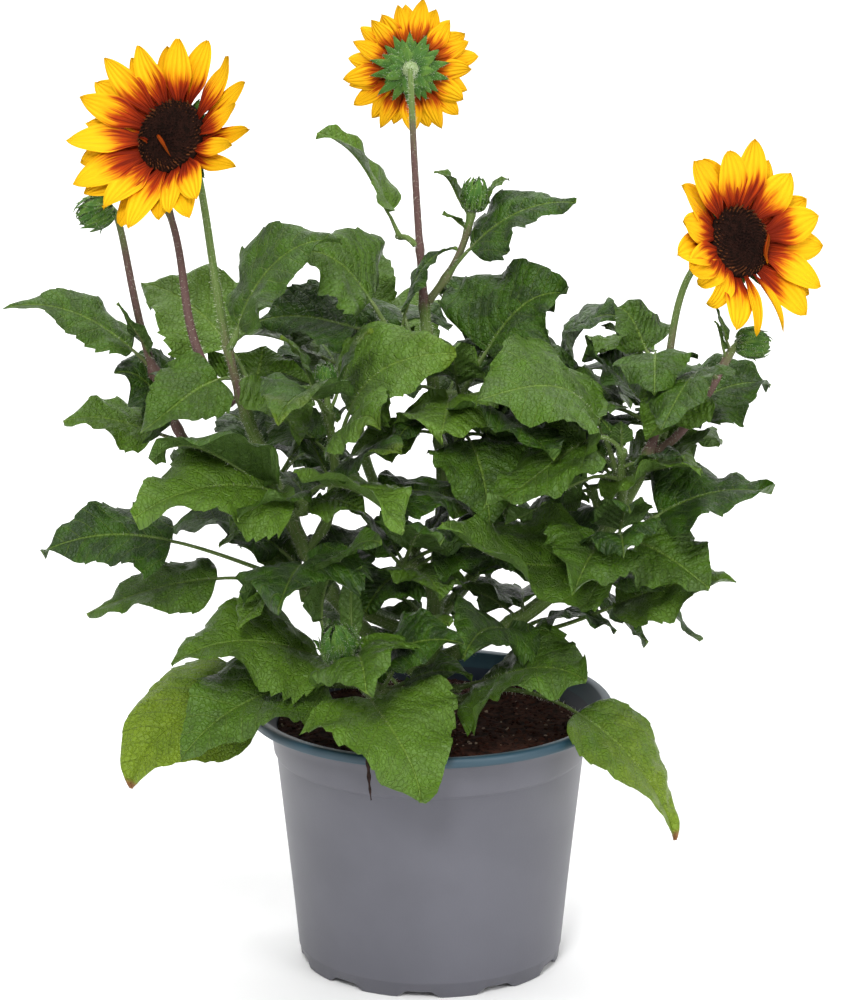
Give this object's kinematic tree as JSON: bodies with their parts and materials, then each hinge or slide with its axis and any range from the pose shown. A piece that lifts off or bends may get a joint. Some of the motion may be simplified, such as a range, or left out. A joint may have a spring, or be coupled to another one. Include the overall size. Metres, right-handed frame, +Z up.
{
  "type": "sunflower plant",
  "caption": "Potted branching sunflower in a grey nursery pot, with open two-coloured blooms, nodding buds and broad toothed leaves hanging over the rim",
  "frame": {"origin": "middle of the pot's flat underside", "axes": "+Z up; the picture was taken from the -Y side with +X to the right"},
  "size_m": [0.4203, 0.2626, 0.4976],
  "materials": {
    "pot": "satin",
    "potting_mix": "matte",
    "stem": "matte",
    "leaf": "satin",
    "old_leaf": "satin",
    "bloom": "matte"
  },
  "bodies": {
    "root": {"pot": "pot", "potting_mix": "potting_mix", "main_stem": "stem", "centre_bough": "stem", "left_bough": "stem", "right_bough": "stem", "back_left_bough": "stem", "back_right_bough": "stem", "back_bough": "stem", "top_bloom_stalk": "stem", "left_bloom_stalk": "stem", "right_bloom_stalk": "stem", "outer_left_spray": "leaf", "hidden_bud_spray": "leaf", "left_fork_spray": "leaf", "left_stalk_leaf": "leaf", "left_upper_spray": "leaf", "centre_bud_spray": "leaf", "low_left_spray": "leaf", "left_front_leaves": "leaf", "left_old_leaf": "old_leaf", "front_low_shoot": "leaf", "inner_front_spray": "leaf", "right_front_leaf": "leaf", "right_old_leaf": "old_leaf", "right_low_spray": "leaf", "right_back_spray": "leaf", "right_mid_spray": "leaf", "right_fork_spray": "leaf", "right_upper_spray": "leaf", "right_bud_spray": "leaf", "right_stalk_leaf": "leaf", "right_small_bud_spray": "leaf", "centre_top_spray": "leaf", "top_stalk_leaf": "leaf", "top_right_bud_spray": "leaf", "centre_right_spray": "leaf", "centre_hanging_leaves": "leaf", "right_hanging_leaf": "leaf", "back_right_spray": "leaf", "back_spray": "leaf", "back_left_spray": "leaf", "back_right_low_spray": "leaf", "back_low_leaves": "leaf", "left_bloom": "bloom", "right_bloom": "bloom", "top_bloom": "bloom"}
  },
  "joints": []
}
